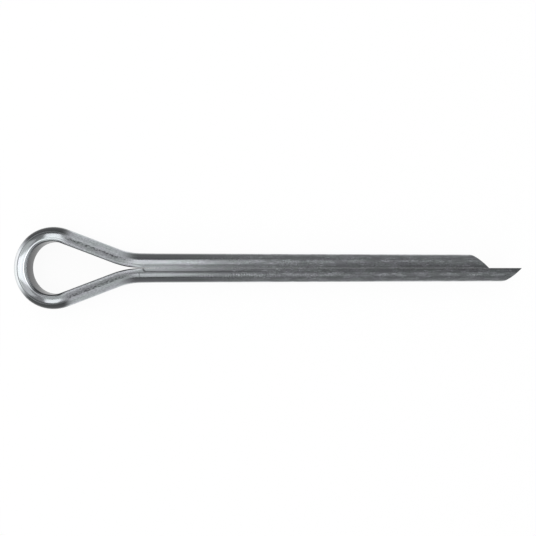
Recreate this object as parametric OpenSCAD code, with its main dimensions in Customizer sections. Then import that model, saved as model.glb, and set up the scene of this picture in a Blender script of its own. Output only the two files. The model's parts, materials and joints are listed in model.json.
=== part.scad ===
// A split pin: one length of half-round wire, folded back on itself round an
// eye, so that its two flats meet and the prongs close to a round shank.
// X runs along the shank to the points, Y across the eye, Z up through it.
// The origin is on the shank's axis, where the flats meet at the throat.

/* [Wire] */
// Diameter of the closed shank, across both prongs
shank_d = 3; // [2:0.1:5]
// Gap left between the two flats
seam_gap = 0.04; // [0.02:0.01:0.2]
// Radius on the two edges of the wire's flat
edge_r = 0.1; // [0.05:0.01:0.4]

/* [Eye] */
// Radius inside the end of the crown
crown_r = 2.9; // [1.8:0.1:6]
// How far the end of the crown turns, each side of its middle, in degrees
crown_turn = 40; // [10:1:80]
// Radius inside each shoulder, where the crown turns into a leg
shoulder_r = 2.1; // [1.4:0.1:6]
// Slope of the legs to the shank, in degrees
leg_slope = 21.2; // [12:0.1:34]
// Radius of the flat where a leg bends into the shank
throat_r = 7.8; // [3:0.1:12]

/* [Prongs] */
// Length of the short prong, from the throat to its point
short_prong = 37.3; // [8:0.1:80]
// How far the long prong reaches past the short one
prong_step = 3.9; // [0.5:0.05:12]
// Slope of the mitred ends to the shank, in degrees
mitre_slope = 45; // [30:1:75]
// Radius that the shear rolls on the back edge of each mitre
shear_roll = 0.3; // [0.05:0.05:0.8]

/* [Hidden] */
$fn = 96;
shank_r = shank_d / 2;
wire_t = shank_r - seam_gap / 2;
// how far each shoulder turns, and how far off the plane y = 0 its centre lies
shoulder_turn = 90 + leg_slope - crown_turn;
shoulder_y = (crown_r - shoulder_r) * sin(crown_turn);
// straight length of a leg, between its two bends
throat_y = throat_r + seam_gap / 2;
leg_l = (shoulder_y + (shoulder_r + throat_r) * cos(leg_slope) - throat_y) / sin(leg_slope);
// centre of an edge radius, and where it runs out into the wire's round back
edge_z = sqrt(pow(shank_r - edge_r, 2) - pow(edge_r + seam_gap / 2, 2));
runout_x = (edge_r + seam_gap / 2) * shank_r / (shank_r - edge_r) - seam_gap / 2;
// how far the rolled radius reaches from the mitre's back edge, both ways
roll_reach = shear_roll * tan(mitre_slope / 2);
// each half bend is made a little over-long and then trimmed on its mirror plane
spare_turn = 2;
trim_size = 4 * (crown_r + shoulder_r + throat_r + shank_d);
// the first of the two steps that a shift is made in is a multiple of this
shift_step = 0.001;

// Moves its children in a coarse step and then the rest, so that faces which are
// tangent or meet stay so to the last digit
module shift(by) {
    coarse = [for (part = by) round(part / shift_step) * shift_step];
    translate(coarse) translate(by - coarse) children();
}

// Cross-section of the wire: its flat on the Y axis, its round back towards +X
module wire_section() {
    intersection() {
        translate([-seam_gap / 2, 0]) circle(r = shank_r);
        translate([runout_x, -shank_r]) square([shank_r, shank_d]);
    }
    for (side = [0, 1])
        mirror([0, side]) shift([edge_r, edge_z]) {
            circle(r = edge_r, $fn = 24);
            translate([-edge_r, -shank_r]) square([runout_x, shank_r]);
        }
}

// Keeps only what lies on the +X side of the plane x = 0
module trimmed() {
    difference() {
        children();
        translate([-trim_size, -trim_size / 2, -shank_d]) cube([trim_size, trim_size, 2 * shank_d]);
    }
}

// Straight wire along +X, with its flat on the plane y = 0
module straight(length) {
    rotate([90, 0, 90]) linear_extrude(length) wire_section();
}

// Wire bent round its flat and the Z axis, between two angles from the Y axis towards +X
module bend(radius, begin, end) {
    rotate_extrude(start = 90 - end, angle = end - begin)
        translate([radius, 0]) wire_section();
}

// Half of the throat's bend, which ends at the origin and runs on along +X
module half_throat() {
    turn = leg_slope / 2 + spare_turn;
    translate([0, throat_r, 0]) rotate_extrude(start = 270 - turn, angle = turn)
        translate([throat_r, 0]) mirror([1, 0]) wire_section();
}

// Half of the crown: a tight shoulder that begins at the origin, then half of the wider end
module half_crown() {
    translate([0, -shoulder_r, 0]) {
        bend(shoulder_r, 0, shoulder_turn);
        shift((shoulder_r - crown_r) * [sin(shoulder_turn), cos(shoulder_turn), 0])
            bend(crown_r, shoulder_turn, shoulder_turn + crown_turn + spare_turn);
    }
}

// What the shear takes off beyond the mitre, whose point is at the origin, and
// what the roll leaves of its back edge
module shear_cut() {
    back = wire_t / tan(mitre_slope);
    reach = shank_d + back;
    translate([0, 0, -shank_r]) linear_extrude(shank_d)
        shift([-back - roll_reach, wire_t - shear_roll]) {
            rotate(-mitre_slope) translate([-reach, shear_roll]) square([2 * reach, reach]);
            difference() {
                polygon([
                    [0, 0],
                    [0, reach],
                    [reach, reach],
                    reach * [sin(mitre_slope), cos(mitre_slope)]
                ]);
                circle(r = shear_roll);
            }
        }
}

// A prong, mitred so that its point lies on the flat
module prong(length) {
    half_throat();
    difference() {
        straight(length);
        translate([length, 0, 0]) shear_cut();
    }
}

// A leg of the eye, with its half of the crown
module leg() {
    half_throat();
    straight(leg_l);
    translate([leg_l, 0, 0]) half_crown();
}

// One half of the pin: prong and leg meet on the plane that halves the throat's
// bend, and the crown ends on the plane y = 0
module half_pin(prong_length) {
    rotate(90) trimmed() rotate(-90)
        translate([0, throat_y, 0]) rotate(-leg_slope / 2) {
            trimmed() rotate(leg_slope / 2) translate([0, -throat_r, 0]) prong(prong_length);
            mirror([1, 0, 0])
                trimmed() rotate(leg_slope / 2) translate([0, -throat_r, 0]) leg();
        }
}

module cotter_pin() {
    color("silver") {
        half_pin(short_prong);
        mirror([0, 1, 0]) half_pin(short_prong + prong_step);
    }
}

cotter_pin();
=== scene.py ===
import json
import math
from types import SimpleNamespace

import bmesh
import bpy
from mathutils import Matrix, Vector


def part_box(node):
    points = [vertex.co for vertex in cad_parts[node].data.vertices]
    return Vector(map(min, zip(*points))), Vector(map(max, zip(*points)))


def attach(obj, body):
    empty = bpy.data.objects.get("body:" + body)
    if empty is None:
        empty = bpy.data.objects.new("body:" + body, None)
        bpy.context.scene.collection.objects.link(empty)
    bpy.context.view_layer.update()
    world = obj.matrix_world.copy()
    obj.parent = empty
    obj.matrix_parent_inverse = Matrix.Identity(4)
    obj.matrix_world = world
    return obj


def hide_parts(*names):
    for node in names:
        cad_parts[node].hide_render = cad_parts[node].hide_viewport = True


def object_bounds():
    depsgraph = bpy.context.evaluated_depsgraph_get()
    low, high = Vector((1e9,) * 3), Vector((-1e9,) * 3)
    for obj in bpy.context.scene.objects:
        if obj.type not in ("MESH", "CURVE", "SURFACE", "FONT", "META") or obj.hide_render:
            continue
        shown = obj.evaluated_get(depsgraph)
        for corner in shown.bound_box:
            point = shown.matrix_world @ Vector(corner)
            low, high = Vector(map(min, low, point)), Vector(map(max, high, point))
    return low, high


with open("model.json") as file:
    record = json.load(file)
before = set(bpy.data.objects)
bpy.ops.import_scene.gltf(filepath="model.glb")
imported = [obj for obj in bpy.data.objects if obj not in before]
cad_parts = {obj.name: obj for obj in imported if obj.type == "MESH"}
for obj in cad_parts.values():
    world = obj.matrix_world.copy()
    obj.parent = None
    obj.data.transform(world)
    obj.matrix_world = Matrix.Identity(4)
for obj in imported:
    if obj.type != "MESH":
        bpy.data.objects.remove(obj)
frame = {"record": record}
cad_low, cad_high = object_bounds()

# The wire is worked in millimetres, as on a bench, and shrunk to metres when it is done.
MM = 0.001

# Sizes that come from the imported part
pin_low, pin_high = (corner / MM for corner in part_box("cotter_pin"))
mounts = {mount["name"]: mount for mount in frame["record"]["mounts"]}
SHANK_R = mounts["shank"]["dims"]["r_mm"]
LONG_POINT = pin_high.x

# Sizes of the folded wire, as in the part's source
HALF_SEAM = 0.02
EDGE_R = 0.1
CROWN_R = 2.9
CROWN_TURN = math.radians(40)
SHOULDER_R = 2.1
LEG_SLOPE = math.radians(21.2)
THROAT_R = 7.8
PRONG_STEP = 3.9
MITRE_SLOPE = math.radians(45)
SHEAR_ROLL = 0.3

SHORT_POINT = LONG_POINT - PRONG_STEP
WIRE_T = SHANK_R - HALF_SEAM
SHOULDER_TURN = math.pi / 2 + LEG_SLOPE - CROWN_TURN
SHOULDER_Y = (CROWN_R - SHOULDER_R) * math.sin(CROWN_TURN)
CROWN_X = pin_low.x + WIRE_T + CROWN_R
SHOULDER_X = CROWN_X - (CROWN_R - SHOULDER_R) * math.cos(CROWN_TURN)
THROAT_Y = THROAT_R + HALF_SEAM
LEG_RISE = SHOULDER_Y + (SHOULDER_R + THROAT_R) * math.cos(LEG_SLOPE) - THROAT_Y
LEG_L = LEG_RISE / math.sin(LEG_SLOPE)

# Lengths along the wire, from the middle of the crown
CROWN_END = CROWN_R * CROWN_TURN
LEG_START = CROWN_END + SHOULDER_R * SHOULDER_TURN
LEG_END = LEG_START + LEG_L
HALF_EYE_L = LEG_END + THROAT_R * LEG_SLOPE

# Small changes that the forming tools leave in the wire: half of the seam that is left where the
# prongs are pressed together, how far that takes, how far out the flat's edges are worked in the
# eye, the share of their height that they drop, and how far the flat swells there
HAIRLINE = 0.004
PRESS_L = 1.5
PRESSED_EDGE = EDGE_R * 1.2
WORKED_EDGE = 0.3
EDGE_DROP = 0.14
UPSET = 0.02

# How finely the wire is cut up, so that its curves and small marks stay round
SECTION_SIDES = 72
EDGE_STEPS = 4
FLAT_CUTS = 19
ROLL_STEPS = 4
RING_SPACING = 0.16
STROKE_L = 6.0
SPARE_L = 2.5
SHARP_ANGLE = math.radians(35)
MITRE_AREA = (1.5 * MM) ** 2

# Marks on the wire, in mm: X, START and END are past the throat, and OUT is out from the flat. The
# nick leans as it goes out. The chatter's waves are L long, and start later by LAG on the short prong.
LAP_OUT = 0.36
SHORT_LAP_OUT = 0.27
SHORT_LAP_SHARE = 0.4
LAP_START = 0.3
LAP_END = 15.0
NICK_X = 0.2
NICK_LEAN = 0.5
DIE_MARK_X = -0.15
DIE_MARK_OUT = 0.7
DIE_MARK_SHARE = 0.5
MID_LINE_OUT = 0.66
# Where a painted line of set tone runs near the back, out from the flat
PAINTED_LINE_OUT = 0.95
CHATTER_OUT = 0.75
CHATTER_L = 0.27
CHATTER_LAG = 5.6

# Noise in the finish: cell sizes along the wire, out from its flat and up, in mm, then detail and seed
GRAINS = {
    "lines": ((4.0, 0.05, 0.05), 4.0, 0.0),
    "dashes": ((0.45, 0.08, 0.08), 2.0, 7.0),
    "pits": ((0.17, 0.11, 0.11), 1.0, 31.0),
    "tarnish": ((1.6, 0.5, 0.5), 2.0, 41.0),
    "smudges": ((1.4, 0.4, 0.4), 4.0, 3.0),
    "speckle": ((0.22, 0.12, 0.12), 3.0, 5.0),
    "flecks": ((0.2, 0.13, 0.13), 2.0, 17.0),
    "shear_lines": ((0.12, 0.12, 2.4), 3.0, 23.0),
    "clouds": ((5.0, 1.5, 1.5), 2.0, 11.0),
}
GRAIN_ROUGHNESS = 0.6
GRAIN_SPAN = (0.3, 0.7)

# Colours of the plate
ZINC_COLOUR = (0.205, 0.219, 0.223)
TARNISH_COLOUR = (0.213, 0.218, 0.232)
EDGE_TINT = (0.7, 0.7, 0.7, 1)

# How light the plate is at each place, against its own colour. Most of these tones are painted
# highlights and painted shade, noted below
# Painted shade: the flanks are darkened as a painted reflection of dark surroundings, less so far along
# the prongs, and darker by the seam there
PAINTED_BACK_SHADE = 0.44
FAR_PAINTED_BACK_SHADE = 0.78
FAR_PAINTED_SEAM_SHADE = 0.92
# Painted sheen on the legs, lighter towards the back, with a painted highlight along their inner edge
# and painted light on their flat; the speckled band is darker
LEG_INNER_PAINTED_SHEEN = 1.2
LEG_OUTER_PAINTED_SHEEN = 2.0
LEG_RIM_PAINTED_SHEEN = 2.1
LEG_SPECKLE_TONE = 0.42
LEG_EDGE_PAINTED_HIGHLIGHT = 1.6
LEG_FLAT_PAINTED_SHEEN = 1.2
# Painted shade on the flat inside the eye
EYE_FLAT_PAINTED_SHADE = 0.35
# Painted highlights on the shoulders, lighter on the long side, with painted shade along the long
# shoulder's inner edge and on the shoulders' backs
SHORT_SHOULDER_PAINTED_HIGHLIGHT = 1.4
LONG_SHOULDER_PAINTED_HIGHLIGHT = 1.8
LONG_SHOULDER_EDGE_PAINTED_SHADE = 0.6
SHOULDER_BACK_PAINTED_SHADE = 0.3
# Painted highlight on the middle of the crown, lightest at its rim and inner edge
CROWN_INNER_PAINTED_HIGHLIGHT = 1.75
CROWN_OUTER_PAINTED_HIGHLIGHT = 1.5
CROWN_EDGE_PAINTED_HIGHLIGHT = 4.0
CROWN_RIM_PAINTED_HIGHLIGHT = 4.5
# A painted line of set tone near the back, dark against the crown's painted highlight
PAINTED_LINE_TONE = 1.2
# Painted highlight along the very back of the wire
BACK_PAINTED_HIGHLIGHT_GAIN = 3.4
LEG_BACK_PAINTED_HIGHLIGHT_GAIN = 1.4
MARK_TONE = 0.42
# Painted glints in the scuffs
DASH_GLINT_TONE = 1.9
DASH_GLINT_SHARE = 0.7
PIT_TONE = 0.35
SMUDGE_TONE = 0.45
SMUDGE_SHARE = 0.45
LINE_TONES = (0.88, 1.12)
FLECK_TONES = (0.8, 1.2)
LEG_FLECK_SHARE = 0.9
SHEAR_TONES = (0.6, 1.5)

# How rough the plate is at each place
BRIGHT_ROUGHNESS = (0.15, 0.21)
HANDLED_ROUGHNESS = 0.3
SATIN_ROUGHNESS = 0.55
SMUDGE_ROUGHNESS = 0.08

# How high the small marks stand, in mm
LINE_HEIGHT = 0.0016
DASH_HEIGHTS = (0.0012, 0.004)
CHATTER_HEIGHT = 0.004
MARK_DEPTH = 0.01
SHEAR_LINE_HEIGHT = 0.02

# Floor
FLOOR_COLOUR = (0.9, 0.9, 0.9, 1)
FLOOR_WHITENESS = 0.94
FLOOR_SIZE = 4.0

# Lamps: the x part of the direction, the lean across from straight up, the width and height seen
# from the pin, in degrees, and the brightness. The overhead lamp leans a hair, which settles how
# its frame is turned.
LAMPS = {
    "softbox_short_side": (-0.14, 48, 26, 34, 2.3),
    "softbox_long_side": (-0.18, -57, 24, 32, 1.7),
    "overhead": (-0.18, 0.01, 68, 28, 1.12),
    "eye_end_strip": (-0.7021, 0, 32, 80, 1.45),
    "eye_end_panel": (-0.9023, 0, 76, 46, 0.7),
    "point_end_short_side": (0.34, 62, 40, 22, 0.56),
    "point_end_long_side": (0.34, -58, 40, 26, 0.56),
}
LAMP_REACH = 0.6
WORLD_BRIGHTNESS = 0.42

# Camera
SENSOR_WIDTH = 36
CAMERA_LENS = 39.34
CAMERA_TILT = 0.1559
CAMERA_REACH = 0.0618
AIM_X = 0.01305
CAMERA_X = AIM_X - CAMERA_REACH * math.sin(CAMERA_TILT)
CAMERA_HEIGHT = CAMERA_REACH * math.cos(CAMERA_TILT)


# ---- Bench tools ----


def deselect_all():
    """Leaves nothing selected, so that the next operator acts on its own piece only."""
    bpy.ops.object.select_all(action="DESELECT")


def middle(part):
    """Middle of an edge or a face."""
    return sum((vert.co for vert in part.verts), Vector()) / len(part.verts)


def pick(kind, test):
    """In edit mode, selects only the verts, edges or faces that pass the test."""
    mesh = bpy.context.edit_object.data
    shape = bmesh.from_edit_mesh(mesh)
    modes = (kind == "verts", kind == "edges", kind == "faces")
    bpy.context.tool_settings.mesh_select_mode = modes
    for parts in (shape.faces, shape.edges, shape.verts):
        for part in parts:
            part.select = False
    for part in getattr(shape, kind):
        part.select = test(part)
    shape.select_flush_mode()
    bmesh.update_edit_mesh(mesh)


def draw_on(direction, length):
    """Draws the wire's open end on, straight, in equal strokes."""
    strokes = math.ceil(length / STROKE_L)
    stroke = Vector(direction) * length / strokes
    for _ in range(strokes):
        bpy.ops.mesh.extrude_region_move(TRANSFORM_OT_translate={"value": stroke})


def bend_on(bend_centre, bend_r, turn):
    """Bends the wire's open end on round a centre. A positive turn is clockwise from above."""
    steps = math.ceil(abs(turn) * bend_r / RING_SPACING)
    bpy.ops.mesh.spin(
        steps=steps, angle=turn, center=bend_centre, axis=(0, 0, 1), use_auto_merge=False
    )


# ---- The wire ----


def start_section():
    """The wire's half-round section, standing past the long prong's point."""
    bpy.ops.mesh.primitive_circle_add(
        vertices=SECTION_SIDES,
        radius=SHANK_R,
        fill_type="NGON",
        location=(LONG_POINT + SPARE_L, 0, 0),
        rotation=(0, math.pi / 2, 0),
    )
    wire = bpy.context.object
    wire.name = "formed_wire"
    bpy.ops.object.transform_apply(location=True, rotation=True, scale=True)
    bpy.ops.object.mode_set(mode="EDIT")
    bpy.ops.mesh.select_all(action="SELECT")
    bpy.ops.mesh.bisect(
        plane_co=(0, -HALF_SEAM, 0), plane_no=(0, 1, 0), clear_outer=True, threshold=1e-6
    )

    def on_flat(vert):
        return abs(vert.co.y + HALF_SEAM) < EDGE_R / 4

    pick("verts", on_flat)
    bpy.ops.mesh.bevel(
        offset=EDGE_R, segments=EDGE_STEPS + 1, affect="VERTICES", clamp_overlap=False
    )
    pick("edges", lambda edge: all(map(on_flat, edge.verts)) and edge.calc_length() > EDGE_R)
    bpy.ops.mesh.subdivide(number_cuts=FLAT_CUTS)
    pick("faces", lambda face: True)
    return wire


def form_wire():
    """Draws the wire out along the long prong, round the eye and back along the short one."""
    slope_x = math.cos(LEG_SLOPE)
    slope_y = math.sin(LEG_SLOPE)
    draw_on((-1, 0, 0), LONG_POINT + SPARE_L)
    bend_on((0, -THROAT_Y, 0), THROAT_R, -LEG_SLOPE)
    draw_on((-slope_x, -slope_y, 0), LEG_L)
    bend_on((SHOULDER_X, -SHOULDER_Y, 0), SHOULDER_R + WIRE_T, SHOULDER_TURN)
    bend_on((CROWN_X, 0, 0), CROWN_R + WIRE_T, 2 * CROWN_TURN)
    bend_on((SHOULDER_X, SHOULDER_Y, 0), SHOULDER_R + WIRE_T, SHOULDER_TURN)
    draw_on((slope_x, -slope_y, 0), LEG_L)
    bend_on((0, THROAT_Y, 0), THROAT_R, -LEG_SLOPE)
    draw_on((1, 0, 0), SHORT_POINT + SPARE_L)


def ring_up():
    """Cuts the straight strokes into short rings."""
    pick("edges", lambda edge: edge.calc_length() > STROKE_L / 2)
    bpy.ops.mesh.subdivide(number_cuts=round(STROKE_L / RING_SPACING))


def cut_off(point_x, side, at, facing):
    """Cuts a prong's end off along one upright plane, and closes it."""
    pick("faces", lambda face: middle(face).y * side > 0 and middle(face).x > point_x - 2 * SHANK_R)
    bpy.ops.mesh.bisect(
        plane_co=(at[0], side * at[1], 0),
        plane_no=(math.sin(facing), side * math.cos(facing), 0),
        use_fill=True,
        clear_outer=True,
        threshold=1e-5,
    )


def shear(point_x, side):
    """Cuts a prong off at its mitre, and rolls the mitre's back edge over as the shear leaves it.
    side is 1 for the short prong and -1 for the long one."""
    cut_off(point_x, side, (point_x, HALF_SEAM), MITRE_SLOPE)
    roll_y = SHANK_R - SHEAR_ROLL
    roll_x = point_x - (roll_y - HALF_SEAM) / math.tan(MITRE_SLOPE) - SHEAR_ROLL / math.sin(MITRE_SLOPE)
    for step in range(1, ROLL_STEPS):
        facing = MITRE_SLOPE * (1 - step / ROLL_STEPS)
        on_roll = (roll_x + SHEAR_ROLL * math.sin(facing), roll_y + SHEAR_ROLL * math.cos(facing))
        cut_off(point_x, side, on_roll, facing)


def make_wire():
    """The whole wire, in millimetres: drawn, bent, cut into rings and sheared at both ends."""
    deselect_all()
    wire = start_section()
    form_wire()
    ring_up()
    shear(LONG_POINT, -1)
    shear(SHORT_POINT, 1)
    bpy.ops.mesh.select_all(action="SELECT")
    bpy.ops.mesh.remove_doubles(threshold=1e-4)
    bpy.ops.mesh.normals_make_consistent(inside=False)
    bpy.ops.object.mode_set(mode="OBJECT")
    return wire


def unbent(point):
    """Where a point lies on the straight wire: along it from the middle of the crown, with a minus
    on the long prong's side, out from its flat, and up its width."""
    across = abs(point.y)
    round_throat = math.atan2(-point.x, THROAT_Y - across)
    from_shoulder = Vector((point.x - SHOULDER_X, across - SHOULDER_Y))
    leg_out = Vector((math.sin(LEG_SLOPE), math.cos(LEG_SLOPE)))
    down_leg = from_shoulder.dot(Vector((math.cos(LEG_SLOPE), -math.sin(LEG_SLOPE))))
    round_shoulder = math.acos(max(-1, min(1, from_shoulder.normalized().dot(leg_out))))
    if point.x >= 0:
        from_middle = HALF_EYE_L + point.x
        out = across - HALF_SEAM
    elif round_throat <= LEG_SLOPE:
        from_middle = HALF_EYE_L - THROAT_R * round_throat
        out = THROAT_R - math.hypot(point.x, THROAT_Y - across)
    elif down_leg >= 0:
        from_middle = LEG_START + down_leg
        out = from_shoulder.dot(leg_out) - SHOULDER_R
    elif round_shoulder <= SHOULDER_TURN:
        from_middle = LEG_START - SHOULDER_R * round_shoulder
        out = from_shoulder.length - SHOULDER_R
    else:
        from_middle = CROWN_R * math.atan2(across, CROWN_X - point.x)
        out = math.hypot(point.x - CROWN_X, across) - CROWN_R
    return math.copysign(from_middle, point.y), out, point.z


def mark_wire_places(wire):
    """Keeps each point's place on the straight wire, for finishes that follow the wire."""
    places = wire.data.attributes.new("wire_place", "FLOAT_VECTOR", "POINT")
    for vert, place in zip(wire.data.vertices, places.data):
        place.vector = unbent(vert.co)


def work_edges(wire):
    """Presses the prongs together past the throat, so that the seam closes to a hairline, and rounds
    over the flat's edges in the eye, where the wire was bent round its former."""
    normals = [vert.normal.copy() for vert in wire.data.vertices]
    places = wire.data.attributes["wire_place"].data
    for vert, normal, place in zip(wire.data.vertices, normals, places):
        along, out, up = place.vector
        from_middle = abs(along)
        pressed = max(0.0, min(1.0, (from_middle - HALF_EYE_L) / PRESS_L))
        in_eye = max(0.0, min(1.0, (HALF_EYE_L - from_middle) / PRESS_L))
        vert.co.y -= math.copysign(pressed * (HALF_SEAM - HAIRLINE), vert.co.y)
        if HAIRLINE / 2 < out < PRESSED_EDGE:
            round_up = math.copysign(math.sqrt(SHANK_R ** 2 - (out + HALF_SEAM) ** 2), up)
            vert.co.z += pressed * (round_up - up)
        near_flat = max(0.0, 1 - out / WORKED_EDGE)
        vert.co.z -= in_eye * up * EDGE_DROP * near_flat ** 2
        if out < HAIRLINE:
            crowned = 1 - (up / SHANK_R) ** 2
            vert.co += normal * in_eye * UPSET * crowned


def shrink_to_metres(wire):
    """Brings the finished wire from millimetres to its real size, with its origin at the throat."""
    deselect_all()
    wire.select_set(True)
    bpy.context.view_layer.objects.active = wire
    wire.scale = (MM, MM, MM)
    bpy.ops.object.transform_apply(location=True, rotation=True, scale=True)
    bpy.ops.object.shade_smooth_by_angle(angle=SHARP_ANGLE)
    # The mitres are the only large faces, and stay flat
    for face in wire.data.polygons:
        face.use_smooth = face.area < MITRE_AREA


# ---- Finishes ----


def add_node(tree, kind, inputs, **options):
    """Adds a node. Each input is a plain value, or the output of another node to join to it."""
    made = tree.nodes.new(kind)
    for option, value in options.items():
        setattr(made, option, value)
    for name, value in inputs.items():
        if isinstance(value, bpy.types.NodeSocket):
            tree.links.new(value, made.inputs[name])
        else:
            made.inputs[name].default_value = value
    return made


def work_out(tree, operation, first, second=0.0):
    """A sum of two numbers or sockets."""
    return add_node(
        tree, "ShaderNodeMath", {0: first, 1: second}, operation=operation
    ).outputs["Value"]


def remap(tree, value, old, new):
    """Carries a value smoothly from its old range to a new one, and no further."""
    return add_node(
        tree,
        "ShaderNodeMapRange",
        {"Value": value, "From Min": old[0], "From Max": old[1], "To Min": new[0], "To Max": new[1]},
        interpolation_type="SMOOTHSTEP",
    ).outputs["Result"]


def rise(tree, value, start, end):
    """0 up to the start, 1 from the end."""
    return remap(tree, value, (start, end), (0, 1))


def fall(tree, value, start, end):
    """1 up to the start, 0 from the end."""
    return remap(tree, value, (start, end), (1, 0))


def band(tree, value, at, half_width, soft):
    """1 within a band round a value, fading to 0 over its soft edge."""
    off = work_out(tree, "ABSOLUTE", work_out(tree, "SUBTRACT", value, at))
    return fall(tree, off, half_width, half_width + soft)


def blend(tree, share, off, on):
    """Goes from one value to another as the share goes from 0 to 1."""
    return add_node(tree, "ShaderNodeMix", {0: share, 2: off, 3: on}).outputs[0]


def both(tree, *shares):
    """Where all the shares hold together."""
    held = shares[0]
    for share in shares[1:]:
        held = work_out(tree, "MULTIPLY", held, share)
    return held


def grain(tree, place, cell, detail, seed):
    """Noise whose cells have the given sizes along the wire, out from its flat and up, in mm."""
    scale = tuple(1 / side for side in cell)
    stretched = add_node(
        tree, "ShaderNodeMapping", {"Vector": place, "Scale": scale, "Location": (seed, seed, 0.0)}
    ).outputs["Vector"]
    settings = {"Vector": stretched, "Scale": 1.0, "Detail": detail, "Roughness": GRAIN_ROUGHNESS}
    return add_node(tree, "ShaderNodeTexNoise", settings).outputs["Fac"]


def find_place(tree):
    """Where a point lies on the straight wire, and which prong and side it is on."""
    place = add_node(tree, "ShaderNodeAttribute", {}, attribute_name="wire_place").outputs["Vector"]
    along, out, up = add_node(tree, "ShaderNodeSeparateXYZ", {"Vector": place}).outputs
    at = SimpleNamespace(out=out)
    at.from_middle = work_out(tree, "ABSOLUTE", along)
    at.past_throat = work_out(tree, "SUBTRACT", at.from_middle, HALF_EYE_L)
    at.on_long = work_out(tree, "LESS_THAN", along, 0.0)
    at.on_short = work_out(tree, "SUBTRACT", 1.0, at.on_long)
    at.on_top = work_out(tree, "GREATER_THAN", up, 0.0)
    at.grains = {name: grain(tree, place, *settings) for name, settings in GRAINS.items()}
    return at


def find_zones(tree, at):
    """Shares from 0 to 1 that say which zone of the wire a point lies in."""
    zones = SimpleNamespace()

    # Along the wire, with edges that wander a little
    wander = work_out(tree, "SUBTRACT", at.grains["clouds"], 0.5)
    leg_x = work_out(tree, "ADD", at.from_middle, wander)
    leg_begins = rise(tree, leg_x, LEG_START - 0.2, LEG_START + 1.0)
    leg_ends = fall(tree, leg_x, HALF_EYE_L - 3.0, HALF_EYE_L - 0.4)
    zones.on_leg = both(tree, leg_begins, leg_ends)
    zones.on_crown = fall(tree, leg_x, LEG_START - 0.2, LEG_START + 0.6)
    zones.on_eye = fall(tree, at.past_throat, -1.5, -0.2)
    zones.crown_middle = fall(tree, at.from_middle, 1.0, 2.4)
    zones.handled = rise(tree, at.past_throat, 4.0, 14.0)

    # Round the section, from the flat out to the back
    zones.flat = fall(tree, at.out, 0.0, 0.06)
    zones.leg_edge = both(tree, zones.on_leg, band(tree, at.out, 0.15, 0.05, 0.08))
    zones.inner_edge = fall(tree, at.out, 0.14, 0.34)
    zones.long_edge = both(tree, at.on_long, fall(tree, at.out, 0.3, 0.46))
    zones.mid_line = band(tree, at.out, MID_LINE_OUT, 0.08, 0.1)
    zones.outer_half = rise(tree, at.out, 0.66, 0.85)
    zones.rim = rise(tree, at.out, 0.75, 1.0)
    zones.bend_back = rise(tree, at.out, 0.72, 0.98)
    # A thin band near the back, for a painted line
    zones.worn_line = band(tree, at.out, PAINTED_LINE_OUT, 0.02, 0.05)
    zones.back = rise(tree, at.out, 0.8, 1.15)
    # The very back of the wire, for a painted highlight
    zones.back_line = rise(tree, at.out, 1.34, 1.42)

    # The sheared ends: along a mitre, the place past the throat falls as fast as it goes out
    point = blend(tree, at.on_long, SHORT_POINT, LONG_POINT)
    short_of = work_out(tree, "SUBTRACT", point, work_out(tree, "ADD", at.past_throat, at.out))
    zones.on_mitre = fall(tree, short_of, 0.004, 0.02)

    # Where handling has scuffed and smudged the prongs, with painted glints in the scuffs
    smudges = at.grains["smudges"]
    zones.scuffed = both(tree, zones.handled, remap(tree, at.out, (0.9, 1.2), (1, 0.2)))
    dashes = rise(tree, at.grains["dashes"], 0.58, 0.63)
    # Light dashes in the scuffs, for painted glints
    zones.light_dashes = both(tree, zones.scuffed, dashes, rise(tree, smudges, 0.47, 0.53))
    pits = rise(tree, at.grains["pits"], 0.66, 0.7)
    zones.dark_pits = both(tree, rise(tree, at.past_throat, 5.0, 9.0), pits)
    zones.dark_smudges = both(tree, zones.handled, fall(tree, smudges, 0.44, 0.56))
    return zones


def find_marks(tree, at):
    """Where the forming tools have marked the upper side: a lap along each prong, a nick and a die
    mark at the long prong's throat."""
    lap_run = both(tree, at.on_top, rise(tree, at.past_throat, LAP_START, LAP_START + 0.2))
    lap_run = both(tree, lap_run, remap(tree, at.past_throat, (LAP_END / 2, LAP_END), (1, 0.2)))
    long_lap = both(tree, at.on_long, band(tree, at.out, LAP_OUT, 0.04, 0.06))
    short_lap = both(tree, at.on_short, band(tree, at.out, SHORT_LAP_OUT, 0.02, 0.06))
    laps = both(tree, work_out(tree, "ADD", long_lap, both(tree, short_lap, SHORT_LAP_SHARE)), lap_run)
    nick_x = work_out(tree, "SUBTRACT", at.past_throat, both(tree, at.out, NICK_LEAN))
    nick = both(tree, band(tree, nick_x, NICK_X, 0.04, 0.06), fall(tree, at.out, 0.36, 0.42))
    die_mark = band(tree, at.past_throat, DIE_MARK_X, 0.03, 0.05)
    die_mark = both(tree, die_mark, band(tree, at.out, DIE_MARK_OUT, 0.25, 0.1), DIE_MARK_SHARE)
    nicks = both(tree, at.on_long, at.on_top, work_out(tree, "MAXIMUM", nick, die_mark))
    return work_out(tree, "MAXIMUM", laps, nicks)


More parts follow.
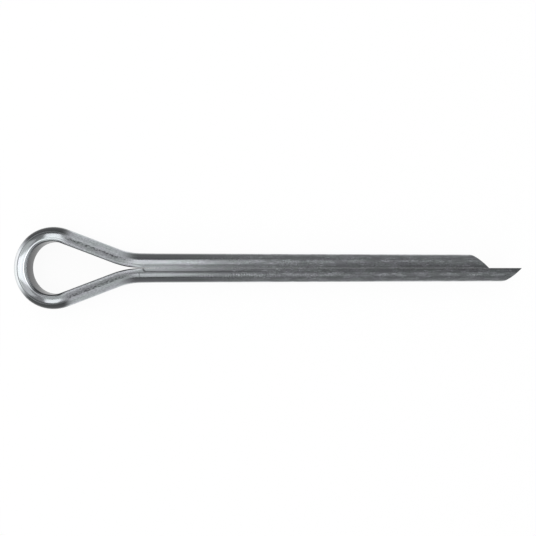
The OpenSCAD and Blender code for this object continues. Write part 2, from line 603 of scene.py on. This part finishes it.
def find_tone(tree, at, zones, marks):
    """How light the plate is, against its own colour: mostly painted highlights and painted shade, with
    the plate's own marks and grain.
    """
    grains = at.grains

    # Each zone along the wire has its own tones round the section, most of them painted highlights and
    # painted shade
    # Painted shade on the flanks, less dark far along the prongs, and darker by the seam there
    back_shade = blend(tree, zones.handled, PAINTED_BACK_SHADE, FAR_PAINTED_BACK_SHADE)
    shank_tone = blend(tree, zones.back, 1.0, back_shade)
    far_seam_shade_zone = both(tree, zones.handled, zones.inner_edge)
    shank_tone = blend(tree, far_seam_shade_zone, shank_tone, FAR_PAINTED_SEAM_SHADE)
    # Painted sheen on the legs, lighter towards the back; the speckled band along the middle is darker
    leg_back_sheen = blend(tree, zones.rim, LEG_OUTER_PAINTED_SHEEN, LEG_RIM_PAINTED_SHEEN)
    leg_tone = blend(tree, zones.outer_half, LEG_INNER_PAINTED_SHEEN, leg_back_sheen)
    speckled = both(tree, zones.mid_line, rise(tree, grains["speckle"], 0.46, 0.58))
    leg_tone = blend(tree, speckled, leg_tone, LEG_SPECKLE_TONE)
    # Painted highlights on the shoulders, with painted shade along the long one's inner edge and on
    # their backs
    crown_tone = blend(tree, at.on_long, SHORT_SHOULDER_PAINTED_HIGHLIGHT, LONG_SHOULDER_PAINTED_HIGHLIGHT)
    crown_tone = blend(tree, zones.long_edge, crown_tone, LONG_SHOULDER_EDGE_PAINTED_SHADE)
    crown_tone = blend(tree, zones.bend_back, crown_tone, SHOULDER_BACK_PAINTED_SHADE)
    # Painted highlight on the middle of the crown, lightest at its rim and inner edge
    crown_highlight_tone = blend(tree, zones.outer_half, CROWN_INNER_PAINTED_HIGHLIGHT, CROWN_OUTER_PAINTED_HIGHLIGHT)
    crown_highlight_tone = blend(tree, zones.inner_edge, crown_highlight_tone, CROWN_EDGE_PAINTED_HIGHLIGHT)
    crown_highlight_tone = blend(tree, zones.rim, crown_highlight_tone, CROWN_RIM_PAINTED_HIGHLIGHT)
    crown_tone = blend(tree, zones.crown_middle, crown_tone, crown_highlight_tone)
    # A painted line of set tone near the back, dark against the crown's painted highlight
    crown_tone = blend(tree, zones.worn_line, crown_tone, PAINTED_LINE_TONE)
    tone = blend(tree, zones.on_crown, shank_tone, crown_tone)
    tone = blend(tree, zones.on_leg, tone, leg_tone)
    # Painted highlight along the very back
    back_highlight_gain = blend(tree, zones.on_leg, BACK_PAINTED_HIGHLIGHT_GAIN, LEG_BACK_PAINTED_HIGHLIGHT_GAIN)
    tone = both(tree, tone, blend(tree, zones.back_line, 1.0, back_highlight_gain))
    # Painted highlight along the legs' inner edge, painted light on the legs' flat and painted shade on
    # the flat inside the eye
    tone = blend(tree, zones.leg_edge, tone, LEG_EDGE_PAINTED_HIGHLIGHT)
    flat_painted_tone = blend(tree, zones.on_leg, EYE_FLAT_PAINTED_SHADE, LEG_FLAT_PAINTED_SHEEN)
    tone = blend(tree, both(tree, zones.on_eye, zones.flat), tone, flat_painted_tone)

    # Marks and wear, with painted glints in the scuffs
    tone = blend(tree, marks, tone, MARK_TONE)
    tone = blend(tree, both(tree, zones.light_dashes, DASH_GLINT_SHARE), tone, DASH_GLINT_TONE)
    tone = blend(tree, zones.dark_pits, tone, PIT_TONE)
    tone = blend(tree, both(tree, zones.dark_smudges, SMUDGE_SHARE), tone, SMUDGE_TONE)
    tone = both(tree, tone, remap(tree, grains["lines"], GRAIN_SPAN, LINE_TONES))
    fleck_tone = remap(tree, grains["flecks"], GRAIN_SPAN, FLECK_TONES)
    fleck_run = remap(tree, at.past_throat, (2.0, 7.0), (0.35, 1))
    fleck_run = both(tree, fleck_run, remap(tree, grains["clouds"], (0.4, 0.6), (0.2, 1)))
    fleck_run = work_out(tree, "MAXIMUM", fleck_run, both(tree, zones.on_leg, LEG_FLECK_SHARE))
    tone = both(tree, tone, blend(tree, fleck_run, 1.0, fleck_tone))
    shear_tone = remap(tree, grains["shear_lines"], (0.35, 0.65), SHEAR_TONES)
    return blend(tree, zones.on_mitre, tone, shear_tone)


def find_roughness(tree, at, zones):
    """How polished the plate is: burnished on the crown, satin on the legs, dulled by handling."""
    rough = remap(tree, at.grains["clouds"], GRAIN_SPAN, BRIGHT_ROUGHNESS)
    rough = blend(tree, zones.handled, rough, HANDLED_ROUGHNESS)
    rough = blend(tree, zones.on_leg, rough, SATIN_ROUGHNESS)
    return work_out(tree, "ADD", rough, both(tree, zones.dark_smudges, SMUDGE_ROUGHNESS))


def find_height(tree, at, zones, marks):
    """How even the surface is, in mm: draw lines, dashes, chatter, tool marks and shear lines."""
    grains = at.grains
    height = both(tree, grains["lines"], LINE_HEIGHT)
    dash_height = both(tree, grains["dashes"], remap(tree, zones.scuffed, (0, 1), DASH_HEIGHTS))
    height = work_out(tree, "ADD", height, dash_height)
    turns = both(tree, at.from_middle, 2 * math.pi / CHATTER_L)
    chatter = band(tree, at.out, CHATTER_OUT, 0.15, 0.15)
    chatter = both(tree, chatter, rise(tree, grains["clouds"], 0.45, 0.6))
    chatter_x = work_out(tree, "SUBTRACT", at.past_throat, both(tree, at.on_short, CHATTER_LAG))
    chatter = both(tree, chatter, remap(tree, chatter_x, (3.0, 4.5), (0, CHATTER_HEIGHT)))
    height = work_out(tree, "ADD", height, both(tree, work_out(tree, "SINE", turns), chatter))
    height = work_out(tree, "SUBTRACT", height, both(tree, marks, MARK_DEPTH))
    return blend(tree, zones.on_mitre, height, both(tree, grains["shear_lines"], SHEAR_LINE_HEIGHT))


def zinc_plate():
    """Bright zinc over drawn wire: satin legs, draw lines, chatter and smudges, with painted highlights
    on the crown, shoulders, legs and back, and painted shade on the flanks and inside the eye.
    """
    finish = bpy.data.materials.new("zinc_plate")
    finish.use_nodes = True
    tree = finish.node_tree
    shader = tree.nodes["Principled BSDF"]
    at = find_place(tree)
    zones = find_zones(tree, at)
    marks = find_marks(tree, at)

    tarnished = rise(tree, at.grains["tarnish"], 0.38, 0.62)
    plate = add_node(
        tree,
        "ShaderNodeMix",
        {0: tarnished, 4: ZINC_COLOUR, 5: TARNISH_COLOUR},
        data_type="VECTOR",
    ).outputs[1]
    tone = find_tone(tree, at, zones, marks)
    colour = add_node(
        tree, "ShaderNodeVectorMath", {0: plate, "Scale": tone}, operation="SCALE"
    ).outputs["Vector"]
    height = find_height(tree, at, zones, marks)
    bump = add_node(tree, "ShaderNodeBump", {"Height": height, "Distance": MM, "Strength": 1.0})

    shader.inputs["Metallic"].default_value = 1
    shader.inputs["Specular Tint"].default_value = EDGE_TINT
    tree.links.new(colour, shader.inputs["Base Color"])
    tree.links.new(find_roughness(tree, at, zones), shader.inputs["Roughness"])
    tree.links.new(bump.outputs["Normal"], shader.inputs["Normal"])
    return finish


def white_floor():
    """A pale floor that reads as white to the eye and in the metal, with a soft shadow left on it."""
    finish = bpy.data.materials.new("white_floor")
    finish.use_nodes = True
    tree = finish.node_tree
    shader = tree.nodes["Principled BSDF"]
    shader.inputs["Base Color"].default_value = FLOOR_COLOUR
    shader.inputs["Roughness"].default_value = 1
    shader.inputs["Specular IOR Level"].default_value = 0
    path = add_node(tree, "ShaderNodeLightPath", {})
    seen = work_out(tree, "MAXIMUM", path.outputs["Is Camera Ray"], path.outputs["Is Glossy Ray"])
    seen = work_out(tree, "MAXIMUM", seen, path.outputs["Is Transmission Ray"])
    share = work_out(tree, "MULTIPLY", seen, FLOOR_WHITENESS)
    white = add_node(tree, "ShaderNodeEmission", {"Color": (1, 1, 1, 1), "Strength": 1.0})
    mixed = add_node(
        tree,
        "ShaderNodeMixShader",
        {0: share, 1: shader.outputs["BSDF"], 2: white.outputs["Emission"]},
    )
    tree.links.new(mixed.outputs["Shader"], tree.nodes["Material Output"].inputs["Surface"])
    return finish


# ---- Studio ----


def lay_floor():
    """Lays the floor that the pin rests on."""
    deselect_all()
    bpy.ops.mesh.primitive_plane_add(size=FLOOR_SIZE, location=(0, 0, cad_low.z))
    floor = bpy.context.object
    floor.name = "floor"
    floor.data.materials.append(white_floor())


def hang_softbox(name, x, lean, width, height, brightness):
    """An area lamp that faces the pin from the direction with this x part, leaning this many degrees
    across from straight up. Its width and height are as seen from the pin, in degrees."""
    rest = math.sqrt(1 - x * x)
    leaning = math.radians(lean)
    at = Vector((x, rest * math.sin(leaning), rest * math.cos(leaning))) * LAMP_REACH
    lamp = bpy.data.lights.new(name, "AREA")
    lamp.shape = "RECTANGLE"
    lamp.size = 2 * LAMP_REACH * math.tan(math.radians(width) / 2)
    lamp.size_y = 2 * LAMP_REACH * math.tan(math.radians(height) / 2)
    lamp.energy = brightness * math.pi * lamp.size * lamp.size_y
    hung = bpy.data.objects.new(name, lamp)
    hung.location = at
    hung.rotation_euler = (-at).to_track_quat("-Z", "Y").to_euler()
    hung.visible_camera = False
    bpy.context.scene.collection.objects.link(hung)


def light_studio():
    """Hangs the lamps, and sets a plain white world round them."""
    for name, settings in LAMPS.items():
        hang_softbox(name, *settings)
    world = bpy.data.worlds.new("studio")
    bpy.context.scene.world = world
    world.use_nodes = True
    background = world.node_tree.nodes["Background"]
    background.inputs["Color"].default_value = (1, 1, 1, 1)
    background.inputs["Strength"].default_value = WORLD_BRIGHTNESS


def place_camera():
    """Holds the camera close above the pin, tilted so that the eye end is nearer."""
    camera = bpy.data.cameras.new("camera")
    camera.sensor_width = SENSOR_WIDTH
    camera.lens = CAMERA_LENS
    camera.clip_start = CAMERA_HEIGHT / 100
    held = bpy.data.objects.new("camera", camera)
    held.location = (CAMERA_X, 0, CAMERA_HEIGHT)
    held.rotation_euler = (0, -CAMERA_TILT, 0)
    bpy.context.scene.collection.objects.link(held)
    bpy.context.scene.camera = held


wire = make_wire()
mark_wire_places(wire)
work_edges(wire)
shrink_to_metres(wire)
wire.data.materials.clear()
wire.data.materials.append(zinc_plate())
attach(wire, "root")
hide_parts("cotter_pin")

lay_floor()
light_studio()
place_camera()
bpy.context.scene.view_settings.view_transform = "Standard"
